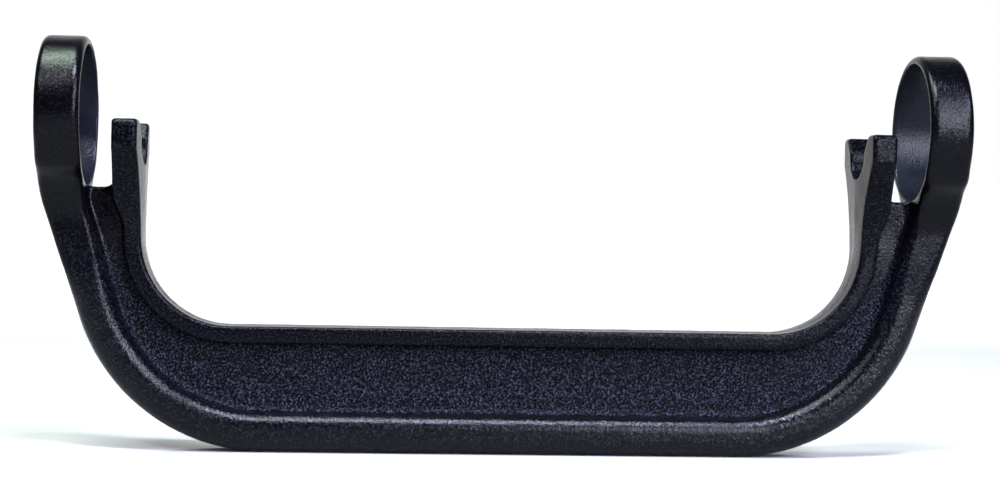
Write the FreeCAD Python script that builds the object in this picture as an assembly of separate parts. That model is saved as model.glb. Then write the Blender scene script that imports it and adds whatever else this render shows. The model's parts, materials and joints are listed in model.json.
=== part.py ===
import FreeCAD, Part

import math
import os

Vector = FreeCAD.Vector

# A black cast yoke, shaped like a wide U. It stands on its crossbar.
# X runs from eye to eye, Y from front to back, Z up. The origin is the middle of the underside.
# All sizes are in millimetres. The right half is described, and the left half mirrors it.

# Rim: the thick outer flange, which runs along the bottom, round the corner and up to the eye
rim_thickness = 12.0
rim_half_depth = 9.0
bar_half_length = 72.4
corner_radius = 58.2
lean_degrees = 18.0
lean_length = 34.1
top_bend_radius = 26.6
plate_inner_x = 126.3
plate_bend_radius = 8.0
bead_radius = 4.6
bead_end_z = 50.0
plate_fillet = 2.0

# Eye: the ring at the top of each arm, with its bore along X
eye_z = 100.9
eye_radius = 23.8
bore_radius = 21.3
neck_start_z = 68.5
neck_radius = 18.0
neck_degrees = 48.0
shoulder_degrees = 22.0
shoulder_radius = 8.0
neck_tip_y = 19.4
neck_tip_z = 85.4

# Inner flange: along the top of the crossbar, round the inside corner and up to the fork
bar_height = 38.3
inner_corner_radius = 26.3
inner_flange_x = 109.1
inner_flange_thickness = 5.8
inner_flange_half_depth = 8.0
inner_edge_fillet = 1.0
draft_degrees = 2.6

# Fork: the flared plate with an open slot in its top edge
fork_outer_x = 118.3
fork_top_z = 99.3
fork_half_depth = 18.9
fork_flare_start_z = 60.0
fork_flare_radius = 48.0
fork_corner_radius = 2.0
fork_thickening_z = (65.0, 79.0)
slot_half_width = 8.2
slot_mouth_half_width = 12.9
slot_mouth_z = 94.4

# Web: the thin recessed panel between the rim and the inner flange
web_half_thickness = 2.5
web_root_fillet = 1.6
web_top_fillet = 1.0
web_top_z = 79.2
gap_fork_radius = 4.0
gap_plate_radius = 3.0
gap_overlap = 0.8

# Where the casting is divided into its members
member_split_z = 61.0
head_split_z = 74.0
head_split_x = 124.0

reach = 160.0
lean = math.radians(lean_degrees)
corner_centre_z = corner_radius
tan_draft = math.tan(math.radians(draft_degrees))


def polar(centre_a, centre_b, radius, degrees):
    angle = math.radians(degrees)
    return centre_a + radius * math.cos(angle), centre_b + radius * math.sin(angle)


def path(points, place):
    """A closed wire. A point is (a, b), or (a, b, a_mid, b_mid) where an arc leads to it."""
    edges = []
    previous = points[-1]
    for point in points:
        start = place(previous[0], previous[1])
        end = place(point[0], point[1])
        if len(point) == 4:
            edges.append(Part.Arc(start, place(point[2], point[3]), end).toShape())
        elif start.distanceToPoint(end) > 1e-6:
            edges.append(Part.LineSegment(start, end).toShape())
        previous = point
    return Part.Wire(edges)


def arc_to(centre_a, centre_b, radius, start_degrees, end_degrees):
    """The end point and middle point of an arc, in the form that path takes."""
    end = polar(centre_a, centre_b, radius, end_degrees)
    middle = polar(centre_a, centre_b, radius, (start_degrees + end_degrees) / 2)
    return end + middle


def prism_along_y(points, half_depth):
    wire = path(points, lambda x, z: Vector(x, -half_depth, z))
    return Part.Face(wire).extrude(Vector(0, 2 * half_depth, 0))


def prism_along_x(points, start_x, end_x):
    wire = path(points, lambda y, z: Vector(start_x, y, z))
    return Part.Face(wire).extrude(Vector(end_x - start_x, 0, 0))


def rim_outline():
    """The rim seen from the front, from the middle of the crossbar to above the eye."""
    foot_x = bar_half_length
    outer_end = polar(foot_x, corner_centre_z, corner_radius, -lean_degrees)
    lean_top_x = outer_end[0] + lean_length * math.sin(lean)
    lean_top_z = outer_end[1] + lean_length * math.cos(lean)
    bend_x = lean_top_x - top_bend_radius * math.cos(lean)
    bend_z = lean_top_z + top_bend_radius * math.sin(lean)
    inner_radius = corner_radius - rim_thickness
    inner_end = polar(foot_x, corner_centre_z, inner_radius, -lean_degrees)
    plate_foot_z = inner_end[1] + (plate_inner_x - inner_end[0]) / math.tan(lean)
    bend_length = plate_bend_radius * math.tan(lean / 2)
    bend_top_z = plate_foot_z + bend_length
    plate_bend_x = plate_inner_x - plate_bend_radius
    return [
        (0, 0),
        (foot_x, 0),
        arc_to(foot_x, corner_centre_z, corner_radius, -90, -lean_degrees),
        (lean_top_x, lean_top_z),
        arc_to(bend_x, bend_z, top_bend_radius, -lean_degrees, 0),
        (bend_x + top_bend_radius, reach),
        (plate_inner_x, reach),
        (plate_inner_x, bend_top_z),
        arc_to(plate_bend_x, bend_top_z, plate_bend_radius, 0, -lean_degrees),
        inner_end,
        arc_to(foot_x, corner_centre_z, inner_radius, -lean_degrees, -90),
        (0, rim_thickness),
    ]


def rim_side_profile():
    """The rim seen from the side: a straight stem, a flared neck and the round eye."""
    neck = math.radians(neck_degrees)
    shoulder = math.radians(shoulder_degrees)
    neck_y = rim_half_depth + neck_radius
    corner_length = shoulder_radius * math.tan((neck - shoulder) / 2)
    below_y = neck_tip_y - corner_length * math.sin(neck)
    below_z = neck_tip_z - corner_length * math.cos(neck)
    above_y = neck_tip_y + corner_length * math.sin(shoulder)
    above_z = neck_tip_z + corner_length * math.cos(shoulder)
    round_y = below_y - shoulder_radius * math.cos(neck)
    round_z = below_z + shoulder_radius * math.sin(neck)
    middle = polar(round_y, round_z, shoulder_radius, -(neck_degrees + shoulder_degrees) / 2)
    touch = polar(0, eye_z, eye_radius, -shoulder_degrees)
    right = [
        (rim_half_depth, -1),
        (rim_half_depth, neck_start_z),
        arc_to(neck_y, neck_start_z, neck_radius, 180, 180 - neck_degrees),
        (below_y, below_z),
        (above_y, above_z) + middle,
        touch,
        (0, eye_z + eye_radius) + polar(0, eye_z, eye_radius, 34),
    ]
    return right + mirrored(right)


def mirrored(points):
    """The same outline on the other side of Y = 0, walked from its last point to its first."""
    back = []
    for index in range(len(points) - 1, 0, -1):
        target = points[index - 1]
        point = (-target[0], target[1])
        if len(points[index]) == 4:
            point += (-points[index][2], points[index][3])
        back.append(point)
    return back


def inner_flange_wire(y, shrink):
    """The inner flange and fork plate seen from the front, at depth y, thinned by the draft."""
    inside = inner_flange_x + shrink
    outside = inner_flange_x + inner_flange_thickness - shrink
    fork_outside = fork_outer_x - shrink
    top = bar_height - shrink
    bottom = bar_height - inner_flange_thickness + shrink
    centre_x = inner_flange_x - inner_corner_radius
    centre_z = bar_height + inner_corner_radius
    inner_radius = inner_corner_radius + shrink
    outer_radius = inner_corner_radius + inner_flange_thickness - shrink
    low, high = fork_thickening_z
    half_rise = (high - low) / 2
    step = fork_outer_x - inner_flange_x - inner_flange_thickness
    swell_radius = (half_rise ** 2 + (step / 2) ** 2) / step
    swell_degrees = math.degrees(math.asin(half_rise / swell_radius))
    points = [
        (0, bottom),
        (centre_x, bottom),
        arc_to(centre_x, centre_z, outer_radius, -90, 0),
        (outside, low),
        arc_to(outside + swell_radius, low, swell_radius, 180, 180 - swell_degrees),
        arc_to(fork_outside - swell_radius, high, swell_radius, -swell_degrees, 0),
        (fork_outside, fork_top_z),
        (inside, fork_top_z),
        (inside, centre_z),
        arc_to(centre_x, centre_z, inner_radius, 0, -90),
        (0, top),
    ]
    return path(points, lambda x, z: Vector(x, y, z))


def fork_side_profile():
    """The inner flange seen from the side: a stem that flares into the fork plate."""
    centre_y = inner_flange_half_depth + fork_flare_radius
    across = (centre_y - fork_half_depth) / fork_flare_radius
    flare_degrees = math.degrees(math.acos(across))
    corner_y = fork_half_depth - fork_corner_radius
    corner_z = fork_top_z - fork_corner_radius
    right = [
        (inner_flange_half_depth, -1),
        (inner_flange_half_depth, fork_flare_start_z),
        arc_to(centre_y, fork_flare_start_z, fork_flare_radius, 180, 180 - flare_degrees),
        (fork_half_depth, corner_z),
        arc_to(corner_y, corner_z, fork_corner_radius, 0, 90),
        (0, fork_top_z),
    ]
    return right + mirrored(right)


def make_rim():
    rim = prism_along_y(rim_outline(), eye_radius + 1)
    rim = rim.common(prism_along_x(rim_side_profile(), 0, reach))
    return rim


def make_inner_flange():
    """Thickest at the parting plane Y = 0, and thinner towards the front and the back."""
    depth = fork_half_depth + 1
    wires = [
        inner_flange_wire(-depth, depth * tan_draft),
        inner_flange_wire(0, 0),
        inner_flange_wire(depth, depth * tan_draft),
    ]
    flange = Part.makeLoft(wires, True, True)
    flange = flange.common(prism_along_x(fork_side_profile(), 0, reach))
    return flange.cut(make_slot())


def make_slot():
    """The fork's slot: a round bottom, and a mouth that opens wider at the top edge."""
    above = fork_top_z + 5
    mouth_y = slot_mouth_half_width + 5
    points = [
        (slot_half_width, slot_mouth_z),
        (slot_mouth_half_width, fork_top_z),
        (mouth_y, above),
        (-mouth_y, above),
        (-slot_mouth_half_width, fork_top_z),
        (-slot_half_width, slot_mouth_z),
        (slot_half_width, slot_mouth_z) + (0, slot_mouth_z - slot_half_width),
    ]
    return prism_along_x(points, inner_flange_x - 5, fork_outer_x + 3)


def make_web():
    """The panel that fills the space between the rim and the inner flange."""
    foot_x = bar_half_length
    centre_x = inner_flange_x - inner_corner_radius
    centre_z = bar_height + inner_corner_radius
    middle_radius = corner_radius - rim_thickness / 2
    rim_end = polar(foot_x, corner_centre_z, middle_radius, -lean_degrees)
    plate_x = plate_inner_x + 2
    plate_z = rim_end[1] + (plate_x - rim_end[0]) / math.tan(lean)
    flange_radius = inner_corner_radius + inner_flange_thickness / 2
    fork_x = (inner_flange_x + fork_outer_x) / 2
    fork_wall_x = fork_outer_x - gap_overlap
    plate_wall_x = plate_inner_x + gap_overlap
    fork_round_x = fork_wall_x + gap_fork_radius
    plate_round_x = plate_wall_x - gap_plate_radius
    points = [
        (0, rim_thickness / 2),
        (foot_x, rim_thickness / 2),
        arc_to(foot_x, corner_centre_z, middle_radius, -90, -lean_degrees),
        (plate_x, plate_z),
        (plate_x, web_top_z + gap_plate_radius),
        (plate_wall_x, web_top_z + gap_plate_radius),
        arc_to(plate_round_x, web_top_z + gap_plate_radius, gap_plate_radius, 0, -90),
        (fork_round_x, web_top_z),
        arc_to(fork_round_x, web_top_z + gap_fork_radius, gap_fork_radius, -90, -180),
        (fork_x, web_top_z + gap_fork_radius),
        (centre_x + flange_radius, centre_z),
        arc_to(centre_x, centre_z, flange_radius, 0, -90),
        (0, bar_height - inner_flange_thickness / 2),
    ]
    return prism_along_y(points, web_half_thickness)


def on_rim(x, z):
    """Whether a point seen from the front belongs to the rim or eye, not to the inner flange."""
    if z > corner_centre_z:
        return x > fork_outer_x + 0.5
    if x < bar_half_length:
        return z < rim_thickness + 0.1
    radius = math.hypot(x - bar_half_length, z - corner_centre_z)
    return radius > corner_radius - rim_thickness - 0.1


def edge_middle(edge):
    return edge.valueAt((edge.FirstParameter + edge.LastParameter) / 2)


def runs_across(edge):
    """Whether an edge only crosses the rim or the fork from its inside to its outside."""
    ends = [vertex.Point for vertex in edge.Vertexes]
    level = abs(ends[0].z - ends[-1].z) < 0.01
    return level and abs(ends[0].x - ends[-1].x) > 5 and ends[0].z > corner_centre_z - 2


def in_middle_plane(edge):
    return all(abs(point.x) < 0.01 for point in [edge_middle(edge), edge.Vertexes[0].Point])


def rim_radii(edge):
    """The rim's rounding is large along the bead and smaller from the plate upwards."""
    middle = edge_middle(edge)
    if not on_rim(middle.x, middle.z) or abs(middle.y) < rim_half_depth - 0.01:
        return None
    radii = [bead_radius if vertex.Z < bead_end_z else plate_fillet for vertex in edge.Vertexes]
    return radii[0], radii[-1]


def at_web_face(edge):
    points = [vertex.Point for vertex in edge.Vertexes] + [edge_middle(edge)]
    return all(abs(abs(point.y) - web_half_thickness) < 0.01 for point in points)


def at_gap(edge):
    middle = edge_middle(edge)
    return middle.z > web_top_z - 0.01 and fork_outer_x < middle.x < plate_inner_x


def root_radii(edge):
    if at_web_face(edge) and not at_gap(edge):
        return web_root_fillet, web_root_fillet
    return None


def web_top_radii(edge):
    if at_web_face(edge) and at_gap(edge):
        return web_top_fillet, web_top_fillet
    return None


def flange_radii(edge):
    middle = edge_middle(edge)
    if on_rim(middle.x, middle.z) or abs(middle.y) < inner_flange_half_depth - 0.01:
        return None
    if slot_half_width - 0.01 < abs(middle.y) < slot_mouth_half_width and middle.z > slot_mouth_z:
        return None
    return inner_edge_fillet, inner_edge_fillet


def rounded(shape, radii_of):
    """The shape with each edge rounded by the start and end radius that radii_of gives it."""
    document = FreeCAD.newDocument()
    base = document.addObject("Part::Feature", "base")
    base.Shape = shape
    fillet = document.addObject("Part::Fillet", "fillet")
    fillet.Base = base
    chosen = []
    for number, edge in enumerate(shape.Edges, 1):
        radii = None if runs_across(edge) or in_middle_plane(edge) else radii_of(edge)
        if radii:
            chosen.append((number,) + radii)
    fillet.Edges = chosen
    document.recompute()
    result = fillet.Shape.copy()
    FreeCAD.closeDocument(document.Name)
    if result.isNull() or not result.isValid():
        raise RuntimeError("rounding failed: " + radii_of.__name__)
    return result


def make_half():
    half = make_rim().fuse([make_inner_flange(), make_web()]).removeSplitter()
    for radii_of in (rim_radii, root_radii, web_top_radii, flange_radii):
        half = rounded(half, radii_of)
    bore_start = Vector(plate_inner_x - 3, 0, eye_z)
    return half.cut(Part.makeCylinder(bore_radius, 30, bore_start, Vector(1, 0, 0)))


def region(start_x, end_x, start_z, end_z):
    corner = Vector(start_x, -reach / 2, start_z)
    return Part.makeBox(end_x - start_x, reach, end_z - start_z, corner)


def mirror(shape):
    return shape.mirror(Vector(0, 0, 0), Vector(1, 0, 0))


def one_solid(shape, name):
    if len(shape.Solids) != 1 or not shape.isValid():
        raise RuntimeError("%s has %d solids" % (name, len(shape.Solids)))
    return shape.Solids[0]


def make_members():
    """The casting's members. They meet face to face, and together they are the whole casting."""
    half = make_half()
    bar = half.common(region(0, bar_half_length, -1, reach))
    corner = half.common(region(bar_half_length, reach, -1, member_split_z))
    sides = {
        "corner": corner,
        "arm": half.common(region(bar_half_length, reach, member_split_z, head_split_z)),
        "fork": half.common(region(bar_half_length, head_split_x, head_split_z, reach)),
        "eye": half.common(region(head_split_x, reach, head_split_z, reach)),
    }
    members = {"crossbar": one_solid(bar.fuse(mirror(bar)).removeSplitter(), "crossbar")}
    for name, shape in sides.items():
        solid = one_solid(shape, name)
        members["right_" + name] = solid
        members["left_" + name] = one_solid(mirror(solid), name)
    return members


os.makedirs("parts", exist_ok=True)
for node, solid in make_members().items():
    solid.exportStep("parts/" + node + ".step")
    box = solid.BoundBox
    print(node, round(solid.Volume), [round(value, 2) for value in
          (box.XMin, box.XMax, box.YMin, box.YMax, box.ZMin, box.ZMax)])
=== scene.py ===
import json
import math

import bmesh
import bpy
import numpy as np
from mathutils import Matrix, Vector, kdtree, noise


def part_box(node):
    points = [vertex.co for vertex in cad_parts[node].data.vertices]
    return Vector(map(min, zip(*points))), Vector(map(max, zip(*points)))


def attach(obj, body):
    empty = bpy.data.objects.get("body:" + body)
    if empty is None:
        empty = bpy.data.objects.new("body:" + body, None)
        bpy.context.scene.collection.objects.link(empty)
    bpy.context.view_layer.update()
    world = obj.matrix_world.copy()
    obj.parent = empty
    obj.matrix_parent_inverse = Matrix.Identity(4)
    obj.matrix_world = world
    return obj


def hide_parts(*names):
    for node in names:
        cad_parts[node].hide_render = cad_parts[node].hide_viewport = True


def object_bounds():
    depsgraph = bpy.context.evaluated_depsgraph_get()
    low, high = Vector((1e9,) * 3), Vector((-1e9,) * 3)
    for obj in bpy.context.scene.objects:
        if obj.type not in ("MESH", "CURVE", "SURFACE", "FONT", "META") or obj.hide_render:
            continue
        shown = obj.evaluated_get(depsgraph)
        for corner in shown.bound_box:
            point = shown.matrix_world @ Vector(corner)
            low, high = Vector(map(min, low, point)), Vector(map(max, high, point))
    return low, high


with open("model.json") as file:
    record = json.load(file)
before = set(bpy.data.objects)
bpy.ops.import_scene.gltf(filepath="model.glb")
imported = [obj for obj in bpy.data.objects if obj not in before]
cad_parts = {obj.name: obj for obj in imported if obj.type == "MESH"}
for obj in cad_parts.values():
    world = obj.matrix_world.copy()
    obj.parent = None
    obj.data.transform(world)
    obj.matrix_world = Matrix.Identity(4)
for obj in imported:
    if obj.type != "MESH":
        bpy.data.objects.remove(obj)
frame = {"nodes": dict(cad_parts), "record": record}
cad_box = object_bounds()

SIDES = ("left", "right")

# The skin's mesh. Lengths are in metres, and a scale is in waves per metre.
VOXEL = 0.00045
SOFTENING = 0.5
SOFTENING_ROUNDS = 4
WAVE_SCALE, WAVE_HEIGHT = 170, 0.00006
GRAIN_SCALE, GRAIN_HEIGHT = 900, 0.00008
ON_MEETING_PLANE = 2e-6
ON_CUT = 1e-6
CUT_TOLERANCE = 1e-7

# Where the skin's zones end, and over what length each blends into the next.
WEB_EDGE_Y, WEB_BLEND = 0.0046, 0.0012
FLANGE_BAND, FLANGE_BLEND = 0.0075, 0.001
INNER_CORNER_RADIUS = 0.0263
HEAD_BLEND = 0.028
EYE_BLEND = 0.003
BORE_MARGIN, BORE_BLEND = 0.0008, 0.0005

# How grainy each zone is. The web has 1, and the heads and eyes lose a share of the rim's.
RIM_GRAIN = 0.55
FLANGE_GRAIN = 0.4
HEAD_LOSS = 0.3
EYE_LOSS = 0.7

# The paint. The stops by grain are (graininess, level), and a noise is (scale, detail, roughness).
GLOSS_BY_GRAIN = [(0.10, 0.1), (0.38, 0.05), (0.55, 0.15), (0.75, 0.07), (1.0, 0.05)]
# How much of the painted crest glint each graininess gets.
CREST_GLINTS_BY_GRAIN = [(0.10, 0.08), (0.38, 0.3), (0.55, 0.25), (0.75, 0.6), (1.0, 1.0)]
GRAIN_NOISE = (1500, 2.5, 0.6)
PATCH_NOISE = (60, 3, 0.55)
FINE_NOISE = (3800, 2, 0.5)
PATCH_RANGE = (0.35, 0.65)
GRAINY_RANGE = (0.5, 1)
# Painted glints: lighter, bluish colours on the grain's crests stand in for the light caught by the
# grain.
CREST_GLINT_COLOURS = [
    (0.36, (0.0004, 0.0004, 0.0008, 1)),
    (0.52, (0.0022, 0.0024, 0.0045, 1)),
    (0.70, (0.034, 0.036, 0.056, 1)),
]
SMOOTH_COLOUR = (0.0008, 0.0008, 0.0011, 1)
# Painted gleam: the bores get a lighter colour that stands in for the light reflected inside them.
BORE_GLEAM_COLOUR = (0.0095, 0.011, 0.0155, 1)
BORE_GLEAM_SHARE = (0.45, 1)
ROUGHNESS = (0.11, 0.17)
GRAIN_BUMP, GRAIN_BUMP_STRENGTH = 0.00042, (0.3, 1)
FINE_BUMP, FINE_BUMP_STRENGTH = 0.00005, 0.6

# The studio. Each softbox is (name, place, what it points at, size, watts, colour).
FLOOR_COLOUR = (0.32, 0.32, 0.32, 1)
AMBIENT_COLOUR, AMBIENT_STRENGTH = (0.96, 0.97, 1.0, 1), 0.05
MIDDLE = (0, 0, 0.06)
SOFTBOXES = [
    ("key_above", (0.05, -0.42, 0.95), MIDDLE, (0.26, 0.09), 22, (0.73, 0.75, 1.0)),
    ("key_right", (0.78, -0.78, 0.85), MIDDLE, (0.4, 0.3), 20, (0.68, 0.71, 1.0)),
    ("key_left", (-0.5, -0.6, 0.85), MIDDLE, (0.3, 0.18), 6, (0.9, 0.88, 1.0)),
    ("overhead_left", (-0.30, -0.06, 0.9), (-0.13, 0, 0.12), (0.3, 0.28), 12, (0.78, 1.0, 0.85)),
    ("front_right", (0.48, -1.1, 0.45), MIDDLE, (0.12, 0.6), 19, (0.84, 0.85, 1.0)),
    ("floor_wash", (0, 1.9, 1.3), (0, 0.7, 0), (1.6, 0.3), 80, (0.98, 0.97, 1.0)),
    ("wall_wash", (0, 1.2, 1.6), (0, 3.6, 0.6), (4.6, 0.6), 290, (1, 1, 1)),
]
NOT_IN_GLOSS = "floor_wash"

scene = bpy.context.scene
collection = scene.collection


# ---------------------------------------------------------------- places, read from the frame

def high(node):
    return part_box(node)[1]


bar_end_x = high("crossbar").x
bar_top_z = high("crossbar").z
inner_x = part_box("right_fork")[0].x
corner_top_z = high("right_corner").z
arm_top_z = high("right_arm").z
head_split_x = high("right_fork").x
eye_z = high("right_eye").z - high("right_eye").y
mounts = {mount["name"]: mount for mount in frame["record"]["mounts"]}
bore_radius = mounts["right_eye_bore"]["dims"]["r_mm"] / 1000


# ---------------------------------------------------------------- the skin, as one mesh

def new_object(name, data):
    thing = bpy.data.objects.new(name, data)
    collection.objects.link(thing)
    return thing


def meeting_planes():
    """The planes where the casting's members meet, as (axis, place)."""
    planes = [(2, corner_top_z), (2, arm_top_z)]
    for sign in (-1, 1):
        planes += [(0, sign * bar_end_x), (0, sign * head_split_x)]
    return planes


def outer_skin():
    """The members' outer faces as one mesh, without the faces where they meet each other."""
    joined = bmesh.new()
    for node in frame["nodes"].values():
        joined.from_mesh(node.data)
    hidden = []
    for face in joined.faces:
        points = [vert.co for vert in face.verts]
        for axis, place in meeting_planes():
            if all(abs(point[axis] - place) < ON_MEETING_PLANE for point in points):
                hidden.append(face)
                break
    bmesh.ops.delete(joined, geom=hidden, context="FACES")
    bmesh.ops.remove_doubles(joined, verts=joined.verts, dist=ON_MEETING_PLANE)
    mesh = bpy.data.meshes.new("outer_skin")
    joined.to_mesh(mesh)
    joined.free()
    return mesh


def remeshed(mesh):
    """The skin as an even grid of small faces, with its edges softened as on a casting."""
    thing = new_object("whole_casting", mesh)
    remesh = thing.modifiers.new("even", "REMESH")
    remesh.mode = "VOXEL"
    remesh.voxel_size = VOXEL
    remesh.use_smooth_shade = True
    smooth = thing.modifiers.new("soften", "SMOOTH")
    smooth.factor = SOFTENING
    smooth.iterations = SOFTENING_ROUNDS
    graph = bpy.context.evaluated_depsgraph_get()
    result = bpy.data.meshes.new_from_object(thing.evaluated_get(graph))
    bpy.data.objects.remove(thing)
    return result


def vectors_of(mesh, attribute):
    """One vector for each of the mesh's vertices, such as its place or its normal."""
    values = np.empty(len(mesh.vertices) * 3, np.float32)
    mesh.vertices.foreach_get(attribute, values)
    return values.reshape(-1, 3)


# ---------------------------------------------------------------- the skin's zones and its unevenness

def on_flange(points):
    """1 on the inner flange, which follows the U's inner outline, and 0 elsewhere."""
    across = np.maximum(np.abs(points[:, 0]) - inner_x + INNER_CORNER_RADIUS, 0)
    below = np.maximum(bar_top_z + INNER_CORNER_RADIUS - points[:, 2], 0)
    from_outline = np.hypot(across, below) - INNER_CORNER_RADIUS
    return np.clip((FLANGE_BAND - from_outline) / FLANGE_BLEND, 0, 1)


def grain_zones(points):
    """How grainy the skin is at each point: most on the web, least on the eyes and in the bores."""
    x, y, z = np.abs(points[:, 0]), np.abs(points[:, 1]), points[:, 2]
    web = np.clip((WEB_EDGE_Y - y) / WEB_BLEND, 0, 1)
    head = np.clip((z - arm_top_z + HEAD_BLEND) / HEAD_BLEND, 0, 1)
    eye = head * np.clip((x - head_split_x) / EYE_BLEND + 1, 0, 1)
    rim = RIM_GRAIN - (RIM_GRAIN - FLANGE_GRAIN) * on_flange(points) * (1 - head)
    grain = rim + (1 - rim) * web * (1 - head)
    return (grain * (1 - HEAD_LOSS * head) * (1 - EYE_LOSS * eye)).astype(np.float32)


def bore_gleam_zones(points):
    """1 on the walls of the eyes' bores, where a lighter colour is painted in as a gleam, and 0
    elsewhere.
    """
    from_axis = np.hypot(points[:, 1], points[:, 2] - eye_z)
    inside = np.clip((bore_radius + BORE_MARGIN - from_axis) / BORE_BLEND, 0, 1)
    return (inside * (np.abs(points[:, 0]) > head_split_x)).astype(np.float32)


def roughen(mesh):
    """Moves the skin in and out by a casting's slight unevenness, and marks its zones."""
    points = vectors_of(mesh, "co")
    normals = vectors_of(mesh, "normal")
    grainy = grain_zones(points)
    wave = np.array([noise.noise(Vector(point) * WAVE_SCALE) for point in points])
    grain = np.array([noise.noise(Vector(point) * GRAIN_SCALE) for point in points])
    height = WAVE_HEIGHT * wave + GRAIN_HEIGHT * grain * grainy
    points += normals * height[:, None]
    points = np.clip(points, np.array(cad_box[0]), np.array(cad_box[1])).astype(np.float32)
    mesh.vertices.foreach_set("co", points.ravel())
    for name, values in (("grain_zone", grainy), ("bore_gleam_zone", bore_gleam_zones(points))):
        zone = mesh.attributes.new(name, "FLOAT", "POINT")
        zone.data.foreach_set("value", values)
    mesh.update()


# ---------------------------------------------------------------- dividing the skin into members

def keep_side(shape, axis, place, sign):
    """Cuts a closed mesh at a plane, keeps one side and closes the cut."""
    centre = Vector((0, 0, 0))
    centre[axis] = place
    normal = Vector((0, 0, 0))
    normal[axis] = sign
    everything = shape.verts[:] + shape.edges[:] + shape.faces[:]
    bmesh.ops.bisect_plane(shape, geom=everything, dist=CUT_TOLERANCE, plane_co=centre,
                           plane_no=normal, clear_inner=True)
    rims = [edge for edge in shape.edges if edge.is_boundary]
    bmesh.ops.holes_fill(shape, edges=rims, sides=0)


def member(name, whole, normal_tree, whole_normals, cuts):
    """One member cut from the whole. It keeps the whole's normals at its cuts, which hides them."""
    shape = bmesh.new()
    shape.from_mesh(whole)
    for axis, place, sign in cuts:
        keep_side(shape, axis, place, sign)
    mesh = bpy.data.meshes.new(name)
    shape.to_mesh(mesh)
    shape.free()
    points = vectors_of(mesh, "co")
    normals = vectors_of(mesh, "normal").copy()
    for axis, place, sign in cuts:
        for index in np.nonzero(np.abs(points[:, axis] - place) < ON_CUT)[0]:
            total = Vector((0, 0, 0))
            for found in normal_tree.find_n(mesh.vertices[index].co, 2):
                total += Vector(whole_normals[found[1]]) / (found[2] + CUT_TOLERANCE)
            normals[index] = total.normalized()
    mesh.polygons.foreach_set("use_smooth", [True] * len(mesh.polygons))
    mesh.normals_split_custom_set_from_vertices(normals)
    return new_object(name, mesh)


def make_members():
    """The whole skin, divided at the planes where the CAD members meet."""
    whole = remeshed(outer_skin())
    roughen(whole)
    points = vectors_of(whole, "co")
    normals = vectors_of(whole, "normal").copy()
    tree = kdtree.KDTree(len(points))
    for index, point in enumerate(points):
        tree.insert(point, index)
    tree.balance()
    cuts = {"crossbar": [(0, -bar_end_x, 1), (0, bar_end_x, -1)]}
    for side, sign in zip(SIDES, (-1, 1)):
        out = (0, sign * bar_end_x, sign)
        above = (2, arm_top_z, 1)
        cuts[side + "_corner"] = [out, (2, corner_top_z, -1)]
        cuts[side + "_arm"] = [out, (2, corner_top_z, 1), (2, arm_top_z, -1)]
        cuts[side + "_fork"] = [out, above, (0, sign * head_split_x, -sign)]
        cuts[side + "_eye"] = [out, above, (0, sign * head_split_x, sign)]
    return {name: member(name + "_cast", whole, tree, normals, cut) for name, cut in cuts.items()}


# ---------------------------------------------------------------- materials

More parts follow.
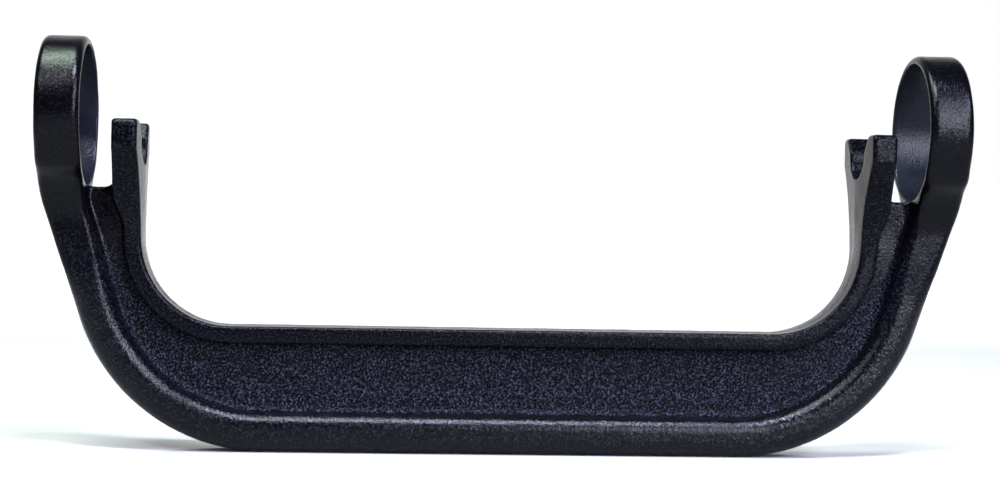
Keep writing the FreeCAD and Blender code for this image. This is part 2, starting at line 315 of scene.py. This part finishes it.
def black_casting():
    """Glossy black paint on a grainy cast skin, with painted glints: a lighter colour on the grain's
    crests stands in for the light they catch.
    """
    material = bpy.data.materials.new("black_cast_paint")
    material.use_nodes = True
    tree = material.node_tree
    link = tree.links.new
    shader = tree.nodes["Principled BSDF"]
    place = tree.nodes.new("ShaderNodeTexCoord")

    def skin_zone(name):
        attribute = tree.nodes.new("ShaderNodeAttribute")
        attribute.attribute_name = name
        return attribute.outputs["Fac"]

    def noise_at(scale, detail, roughness):
        texture = tree.nodes.new("ShaderNodeTexNoise")
        texture.inputs["Scale"].default_value = scale
        texture.inputs["Detail"].default_value = detail
        texture.inputs["Roughness"].default_value = roughness
        link(place.outputs["Object"], texture.inputs["Vector"])
        return texture.outputs["Fac"]

    def ranged(source, source_range, result_range):
        change = tree.nodes.new("ShaderNodeMapRange")
        change.inputs["From Min"].default_value = source_range[0]
        change.inputs["From Max"].default_value = source_range[1]
        change.inputs["To Min"].default_value = result_range[0]
        change.inputs["To Max"].default_value = result_range[1]
        link(source, change.inputs["Value"])
        return change.outputs["Result"]

    def ramp(source, stops):
        """A colour that follows the source through a list of (position, colour)."""
        colours = tree.nodes.new("ShaderNodeValToRGB")
        elements = colours.color_ramp.elements
        elements.remove(elements[1])
        elements[0].position, elements[0].color = stops[0]
        for position, colour in stops[1:]:
            elements.new(position).color = colour
        link(source, colours.inputs["Fac"])
        return colours.outputs["Color"]

    def by_grain(stops):
        return ramp(grain_zone, [(position, (level, level, level, 1)) for position, level in stops])

    def bump(height, distance):
        node = tree.nodes.new("ShaderNodeBump")
        node.inputs["Distance"].default_value = distance
        link(height, node.inputs["Height"])
        return node

    grain_zone = skin_zone("grain_zone")
    patches = noise_at(*PATCH_NOISE)
    grain = noise_at(*GRAIN_NOISE)

    # A painted gleam in the bores: a lighter colour there, made patchy by the patch noise.
    bore_gleam_share = tree.nodes.new("ShaderNodeMath")
    bore_gleam_share.operation = "MULTIPLY"
    link(skin_zone("bore_gleam_zone"), bore_gleam_share.inputs[0])
    link(ranged(patches, PATCH_RANGE, BORE_GLEAM_SHARE), bore_gleam_share.inputs[1])
    smooth_and_bore_gleam_colour = tree.nodes.new("ShaderNodeMix")
    smooth_and_bore_gleam_colour.data_type = "RGBA"
    smooth_and_bore_gleam_colour.inputs["A"].default_value = SMOOTH_COLOUR
    smooth_and_bore_gleam_colour.inputs["B"].default_value = BORE_GLEAM_COLOUR
    link(bore_gleam_share.outputs["Value"], smooth_and_bore_gleam_colour.inputs["Factor"])
    # The painted crest glints, mixed over the base colour by graininess.
    colour = tree.nodes.new("ShaderNodeMix")
    colour.data_type = "RGBA"
    link(smooth_and_bore_gleam_colour.outputs["Result"], colour.inputs["A"])
    link(ramp(grain, CREST_GLINT_COLOURS), colour.inputs["B"])
    link(by_grain(CREST_GLINTS_BY_GRAIN), colour.inputs["Factor"])
    link(colour.outputs["Result"], shader.inputs["Base Color"])

    link(by_grain(GLOSS_BY_GRAIN), shader.inputs["Specular IOR Level"])
    link(ranged(patches, PATCH_RANGE, ROUGHNESS), shader.inputs["Roughness"])

    grain_bump = bump(grain, GRAIN_BUMP)
    link(ranged(grain_zone, GRAINY_RANGE, GRAIN_BUMP_STRENGTH), grain_bump.inputs["Strength"])
    fine_bump = bump(noise_at(*FINE_NOISE), FINE_BUMP)
    fine_bump.inputs["Strength"].default_value = FINE_BUMP_STRENGTH
    link(grain_bump.outputs["Normal"], fine_bump.inputs["Normal"])
    link(fine_bump.outputs["Normal"], shader.inputs["Normal"])
    return material


def white_floor():
    material = bpy.data.materials.new("studio_white")
    material.use_nodes = True
    shader = material.node_tree.nodes["Principled BSDF"]
    shader.inputs["Base Color"].default_value = FLOOR_COLOUR
    shader.inputs["Roughness"].default_value = 0.9
    shader.inputs["Specular IOR Level"].default_value = 0.1
    return material


# ---------------------------------------------------------------- studio

def sweep_backdrop():
    """A pale floor that curves up into a wall behind the object."""
    half_width, front, back, radius, height = 6.0, -5.0, 2.5, 1.2, 5.0
    curve_steps = 16
    line = [(front, 0.0), (back, 0.0)]
    for step in range(1, curve_steps + 1):
        angle = math.pi / 2 * step / curve_steps
        line.append((back + radius * math.sin(angle), radius * (1 - math.cos(angle))))
    line.append((back + radius, height))
    verts = [(x, y, z) for y, z in line for x in (-half_width, half_width)]
    faces = [(2 * i, 2 * i + 1, 2 * i + 3, 2 * i + 2) for i in range(len(line) - 1)]
    mesh = bpy.data.meshes.new("backdrop")
    mesh.from_pydata(verts, [], faces)
    mesh.polygons.foreach_set("use_smooth", [True] * len(faces))
    floor = new_object("backdrop", mesh)
    floor.data.materials.append(white_floor())


def softbox(name, place, target, size, watts, colour):
    """An area light. The one that brightens the floor behind the object isn't seen in its gloss."""
    lamp = bpy.data.lights.new(name, "AREA")
    lamp.shape = "RECTANGLE"
    lamp.size, lamp.size_y = size
    lamp.energy = watts
    lamp.color = colour
    thing = new_object(name, lamp)
    thing.location = place
    thing.rotation_euler = (Vector(target) - Vector(place)).to_track_quat("-Z", "Y").to_euler()
    thing.visible_glossy = name != NOT_IN_GLOSS


def make_lights():
    world = bpy.data.worlds.new("studio")
    scene.world = world
    world.use_nodes = True
    background = world.node_tree.nodes["Background"]
    background.inputs["Color"].default_value = AMBIENT_COLOUR
    background.inputs["Strength"].default_value = AMBIENT_STRENGTH
    for settings in SOFTBOXES:
        softbox(*settings)


def make_camera():
    """The camera stands a little left of the middle and looks slightly to the right and down."""
    target = Vector((-0.00109, 0, 0.0645))
    distance = 0.6166
    yaw, pitch, roll = (math.radians(angle) for angle in (3.9145, 0.5365, 1.07))
    across = math.cos(pitch)
    forward = Vector((math.sin(yaw) * across, math.cos(yaw) * across, -math.sin(pitch)))
    level = Vector((math.cos(yaw), -math.sin(yaw), 0))
    upright = level.cross(forward)
    right = level * math.cos(roll) + upright * math.sin(roll)
    up = upright * math.cos(roll) - level * math.sin(roll)
    data = bpy.data.cameras.new("camera")
    data.sensor_width = 36
    data.lens = 72.33
    data.clip_start = 0.01
    data.clip_end = 30
    camera = new_object("camera", data)
    turn = Matrix((right, up, -forward)).transposed().to_4x4()
    camera.matrix_world = Matrix.Translation(target - forward * distance) @ turn
    scene.camera = camera


# ---------------------------------------------------------------- build

paint = black_casting()
for node_name, piece in make_members().items():
    piece.data.materials.append(paint)
    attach(piece, "root")
    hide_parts(node_name)

sweep_backdrop()
make_lights()
make_camera()
scene.view_settings.view_transform = "Standard"
